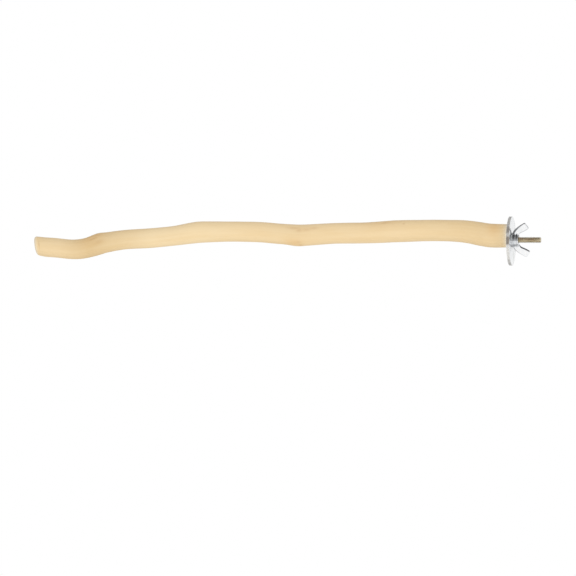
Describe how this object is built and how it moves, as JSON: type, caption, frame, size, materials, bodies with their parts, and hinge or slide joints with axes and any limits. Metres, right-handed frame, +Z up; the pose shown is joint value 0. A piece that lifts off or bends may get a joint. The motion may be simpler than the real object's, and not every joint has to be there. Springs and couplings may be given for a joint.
{
  "type": "bird perch",
  "caption": "Peeled natural branch perch with a threaded screw in its thick end, held to a cage wall between large flat washers by a wing nut.",
  "frame": {"origin": "on the screw's axis, where the two washers meet and the cage wall is clamped between them", "axes": "+X along the screw, out of the wood and through the cage wall; +Z up; the wings of the nut lie in the XZ plane turned 22 degrees about the screw, the upper one leaning towards -Y"},
  "size_m": [0.5218, 0.05, 0.0499],
  "materials": {
    "branch": "peeled pale wood, sanded smooth, unvarnished",
    "hanger_bolt": "rolled steel thread, yellow zinc plated",
    "inner_washer": "stamped steel, bright zinc plated",
    "outer_washer": "stamped steel, bright zinc plated",
    "wing_nut": "forged steel, bright zinc plated and polished"
  },
  "bodies": {
    "perch": {"branch": "branch", "hanger_bolt": "hanger_bolt"},
    "inner_washer": {"inner_washer": "inner_washer"},
    "outer_washer": {"outer_washer": "outer_washer"},
    "wing_nut": {"wing_nut": "wing_nut"}
  },
  "joints": [
    {"name": "inner_washer_spin", "type": "hinge", "parent": "perch", "child": "inner_washer", "pos_m": [0, 0, -0.00115], "axis": [1, 0, 0], "continuous": true},
    {"name": "outer_washer_slide", "type": "slide", "parent": "perch", "child": "outer_washer", "axis": [1, 0, 0], "range_m": [0, 0.022]},
    {"name": "wing_nut_spin", "type": "hinge", "parent": "outer_washer", "child": "wing_nut", "pos_m": [0, 0, 0], "axis": [1, 0, 0], "range_deg": [0, 7920]}
  ],
  "couplings": [
    {"joint": "wing_nut_spin", "follows": "outer_washer_slide", "rad_per_m": 6283.2}
  ]
}
